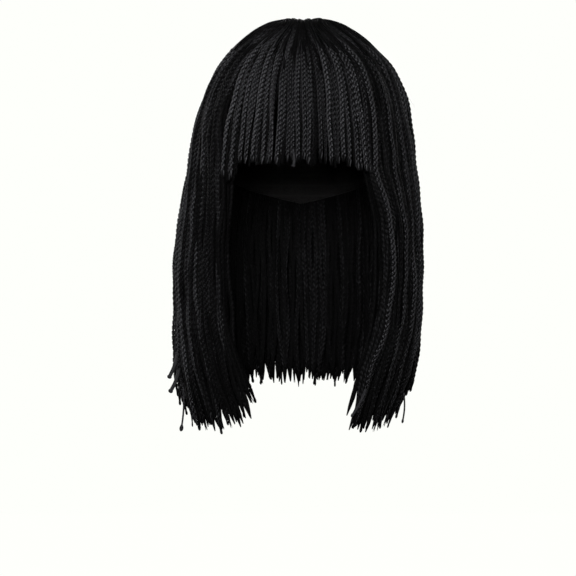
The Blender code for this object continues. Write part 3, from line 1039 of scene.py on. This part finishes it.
class WIG_OT_fringe(bpy.types.Operator):
    """Make the braids over the forehead, in three layers"""

    bl_idname = "wig.fringe"
    bl_label = "Fringe"

    def execute(self, context):
        rng = np.random.default_rng(SEED)
        count = context.scene.wig_sizes.fringe_braids
        sets = outer_sets(fringe_edges, count, fringe_tips, rng, FINE_RINGS, clump=0.12)
        parts = []
        for braids in sets:
            still = 0 * braids.flick
            braids = braids._replace(tuft=FRINGE_TUFT, wander=0.0008, flick=still, sweep=still)
            braids = braids._replace(roll=0.5, edge_on=0.2, taper=0.1, dim_end=0.3)
            # root_tone 0.35 paints shade on the fringe's braids near the parting
            parts.append(plait(braids, rng, (0.92, 1.1), 0.97, fanned=0.0, root_tone=0.35))
        hair_piece("fringe_braids", parts, "fringe")

        count = FRINGE_UNDER_BRAIDS
        under = deep_set(fringe_edges, count, fringe_tips, rng, 3.4, 0.0062)
        shares = fringe_shares(count)
        under = under._replace(shares=shares, tuft=FRINGE_TUFT, sweep=0 * shares, wander=0.0012)
        under = under._replace(tips=fringe_tips(shares, rng) - 0.02)
        # Lower tones than the outer fringe: painted shade on braids that lie under it
        parts = [plait(under, rng, (0.6, 0.9), fanned=0.0)]
        hair_piece("fringe_under_braids", parts, "fringe")

        count = FRINGE_FILLING_BRAIDS
        deep = deep_set(fringe_edges, count, fringe_tips, rng, 0.1, 0.0085)
        deep = deep._replace(root_depth=0.5, sink=0.02, shares=fringe_shares(count))
        deep = deep._replace(tips=deep.tips - 0.35)
        hair_piece("fringe_filling", [filling(deep, rng)], "fringe", finish="deep_hair")
        return {"FINISHED"}


class WIG_OT_sides(bpy.types.Operator):
    """Make the outer braids of both sides, a front and a rear piece for each"""

    bl_idname = "wig.sides"
    bl_label = "Side Braids"

    def execute(self, context):
        count = context.scene.wig_sizes.side_braids
        half = count // 2
        # Each side's braids take random tones; the right side's lower ones are painted shade, so
        # its braids are painted darker than the left's
        for number, (side, tones) in enumerate((("left", (0.25, 1.0)), ("right", (0.1, 0.65)))):
            rng = np.random.default_rng(SEED + 10 + number)
            edges = side_edges(side)
            for place, keep, ring_turn in (
                ("front", slice(0, half), FINE_RINGS),
                ("rear", slice(half, None), COARSE_RINGS),
            ):
                sets = outer_sets(edges, count, free_tips(edges), rng, ring_turn, keep)
                # root_tone 1.15 paints light on the sides' braids near the parting
                parts = [plait(braids, rng, tones, 0.92, root_tone=1.15) for braids in sets]
                hair_piece(f"{side}_{place}_braids", parts, f"{side}_side_locks")
        return {"FINISHED"}


class WIG_OT_back(bpy.types.Operator):
    """Make the outer braids behind the head"""

    bl_idname = "wig.back"
    bl_label = "Back Braids"

    def execute(self, context):
        rng = np.random.default_rng(SEED + 20)
        count = context.scene.wig_sizes.back_braids
        sets = outer_sets(back_edges, count, free_tips(back_edges), rng, COARSE_RINGS)
        hair_piece("back_braids", [plait(braids, rng) for braids in sets], "back_locks")
        return {"FINISHED"}


def hair_groups():
    """(name, edges, inner braids, outer solid) of each group of hair."""
    return (
        ("fringe", fringe_edges, 26, "fringe"),
        ("left", side_edges("left"), 22, "left_side_locks"),
        ("right", side_edges("right"), 22, "right_side_locks"),
        ("back", back_edges, 26, "back_locks"),
    )


class WIG_OT_under(bpy.types.Operator):
    """Make the inner braids, which hang from the cap round the ears and above the nape"""

    bl_idname = "wig.under"
    bl_label = "Under Braids"

    def execute(self, context):
        for number, (name, edges, count, _) in enumerate(hair_groups()[1:]):
            rng = np.random.default_rng(SEED + 30 + number)
            tips = free_tips(edges, shorter=0.012)
            braids = deep_set(edges, count, tips, rng, 5.7, 0.0135)
            # Low tones: painted shade on braids that lie deep in the hair
            parts = [plait(braids, rng, (0.02, 0.14))]
            hair_piece(f"{name}_under_braids", parts, f"{name}_under_locks")
        return {"FINISHED"}


class WIG_OT_filling(bpy.types.Operator):
    """Make the braids between the outer and the inner ones, which show only in the gaps"""

    bl_idname = "wig.filling"
    bl_label = "Filling"

    def execute(self, context):
        groups = (
            ("left", side_edges("left"), 34, "left_side_locks"),
            ("right", side_edges("right"), 34, "right_side_locks"),
            ("back", wide_back_edges, 60, "back_locks"),
        )
        for number, (name, edges, count, node) in enumerate(groups):
            rng = np.random.default_rng(SEED + 40 + number)
            parts = []
            for row in FILLING_LAYERS:
                tips = free_tips(edges, row.shorter)
                layer = deep_set(edges, count, tips, rng, row.first, row.depth)
                layer = layer._replace(root_depth=row.root_depth)
                parts.append(filling(layer, rng, wide=1.05))
            nodes = (node, f"{name}_under_locks")
            hair_piece(f"{name}_filling", parts, *nodes, finish="deep_hair")
        return {"FINISHED"}


class WIG_OT_crown(bpy.types.Operator):
    """Make the smooth hair over the crown, which dives under the braids as it leaves it"""

    bl_idname = "wig.crown"
    bl_label = "Crown"

    def execute(self, context):
        for number, (name, edges, count, node) in enumerate(hair_groups()):
            rng = np.random.default_rng(SEED + 50 + number)
            hair = deep_set(edges, count, crown_tips, rng, 0.0, 0.0036)
            hair = hair._replace(root_depth=0.35, sink=0.012, flick=np.full(count, -0.003))
            # Low shades: painted shade on the smooth hair that lies under the braids
            parts = [filling(hair, rng, (0.05, 0.3), spacing=0.005)]
            hair_piece(f"{name}_crown_hair", parts, node, finish="deep_hair")
        return {"FINISHED"}


class WIG_OT_strays(bpy.types.Operator):
    """Make the loose ends and fibres that stand off the hair"""

    bl_idname = "wig.strays"
    bl_label = "Strays"

    def execute(self, context):
        rng = np.random.default_rng(SEED + 60)
        hair_piece("stray_ends", [stray_cords(), flyaway_fibres(rng)])
        return {"FINISHED"}


class WIG_OT_cap(bpy.types.Operator):
    """Finish the cap"""

    bl_idname = "wig.cap"
    bl_label = "Cap"

    def execute(self, context):
        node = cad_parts["cap"]
        node.data.materials.clear()
        node.data.materials.append(material("cap_net"))
        return {"FINISHED"}


def plain_floor(height, colour):
    """A level square sheet, which the camera sees nearly white."""
    mesh = bpy.data.meshes.new("floor")
    corners = ((-1, -1), (1, -1), (1, 1), (-1, 1))
    corners = [(x * FLOOR_REACH, y * FLOOR_REACH, height) for x, y in corners]
    mesh.from_pydata(corners, [], ((0, 1, 2, 3),))
    finish, tree = new_material("floor")
    look = {
        "Base Color": (*colour, 1.0),
        "Roughness": 0.9,
        "Specular IOR Level": 0.1,
        "Emission Color": FLOOR_GLOW,
        "Emission Strength": add_node(tree, "LightPath", {}).outputs["Is Camera Ray"],
    }
    set_inputs(tree, tree.nodes["Principled BSDF"], look)
    mesh.materials.append(finish)
    return new_object("floor", mesh)


def soft_light(lamp, target, power):
    """A square area light that faces target."""
    data = bpy.data.lights.new(lamp.name, "AREA")
    data.size = LAMP_WIDTH
    data.spread = math.radians(LAMP_SPREAD)
    data.energy = lamp.share * power
    made = new_object(lamp.name, data)
    made.location = lamp.place
    made.rotation_mode = "QUATERNION"
    away = (np.array(lamp.place) - np.array(target)).tolist()
    made.rotation_quaternion = Vector(away).to_track_quat("Z", "Y")
    return made


def studio_world():
    """White behind the wig, and dim round it so that the lights shape the braids."""
    world = bpy.data.worlds.new("studio")
    world.use_nodes = True
    tree = world.node_tree
    seen = add_node(tree, "LightPath", {}).outputs["Is Camera Ray"]
    strength = map_range(tree, seen, (0.0, 1.0), (0.03, 1.0))
    set_inputs(tree, tree.nodes["Background"], {"Color": BACKDROP, "Strength": strength})
    return world


class WIG_OT_stage(bpy.types.Operator):
    """Make the floor, the lights and the camera"""

    bl_idname = "wig.stage"
    bl_label = "Studio"

    def execute(self, context):
        scene = context.scene
        stage = scene.wig_stage
        plain_floor(stage.floor_height, tuple(stage.floor_colour))
        scene.world = studio_world()
        brow = (0.0, -FRONT_REACH, -0.25 * HAIR_DROP)
        nape = (0.0, 0.5 * BACK_REACH, -0.5 * HAIR_DROP)
        for target, lamps in ((brow, FRONT_LAMPS), (nape, REAR_LAMPS)):
            for lamp in lamps:
                soft_light(lamp, target, stage.key_power)

        data = bpy.data.cameras.new("camera")
        camera = new_object("camera", data)
        field = IMAGE_PIXELS * PIXEL
        data.sensor_width = SENSOR
        data.lens = SENSOR * CAMERA_DISTANCE / field
        aside = (IMAGE_PIXELS / 2 - PARTING_PIXEL) * PIXEL
        camera.location = (aside, -CAMERA_DISTANCE, CAMERA_HEIGHT)
        camera.rotation_euler = (math.pi / 2, 0.0, 0.0)
        scene.camera = camera
        scene.view_settings.view_transform = "Standard"
        return {"FINISHED"}


class WIG_PT_panel(bpy.types.Panel):
    """Lists the wig's pieces and the studio"""

    bl_idname = "WIG_PT_panel"
    bl_label = "Braid Wig"
    bl_space_type = "VIEW_3D"
    bl_region_type = "UI"
    bl_category = "Wig"

    def draw(self, context):
        for group in (context.scene.wig_sizes, context.scene.wig_stage):
            for name in group.bl_rna.properties.keys():
                if name not in ("rna_type", "name"):
                    self.layout.prop(group, name)
        for operator in OPERATORS:
            self.layout.operator(operator.bl_idname)


GROUPS = (WigSizes, WigStage)
HAIR = (WIG_OT_fringe, WIG_OT_sides, WIG_OT_back, WIG_OT_under, WIG_OT_filling, WIG_OT_crown)
OPERATORS = (*HAIR, WIG_OT_strays, WIG_OT_cap, WIG_OT_stage)


def register():
    for made in (*GROUPS, *OPERATORS, WIG_PT_panel):
        bpy.utils.register_class(made)
    bpy.types.Scene.wig_sizes = bpy.props.PointerProperty(type=WigSizes)
    bpy.types.Scene.wig_stage = bpy.props.PointerProperty(type=WigStage)


def unregister():
    del bpy.types.Scene.wig_stage
    del bpy.types.Scene.wig_sizes
    for made in reversed((*GROUPS, *OPERATORS, WIG_PT_panel)):
        bpy.utils.unregister_class(made)


def main():
    register()
    bpy.ops.wig.stage()
    bpy.ops.wig.cap()
    bpy.ops.wig.fringe()
    bpy.ops.wig.sides()
    bpy.ops.wig.back()
    bpy.ops.wig.under()
    bpy.ops.wig.filling()
    bpy.ops.wig.crown()
    bpy.ops.wig.strays()
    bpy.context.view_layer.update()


if __name__ == "__main__":
    main()
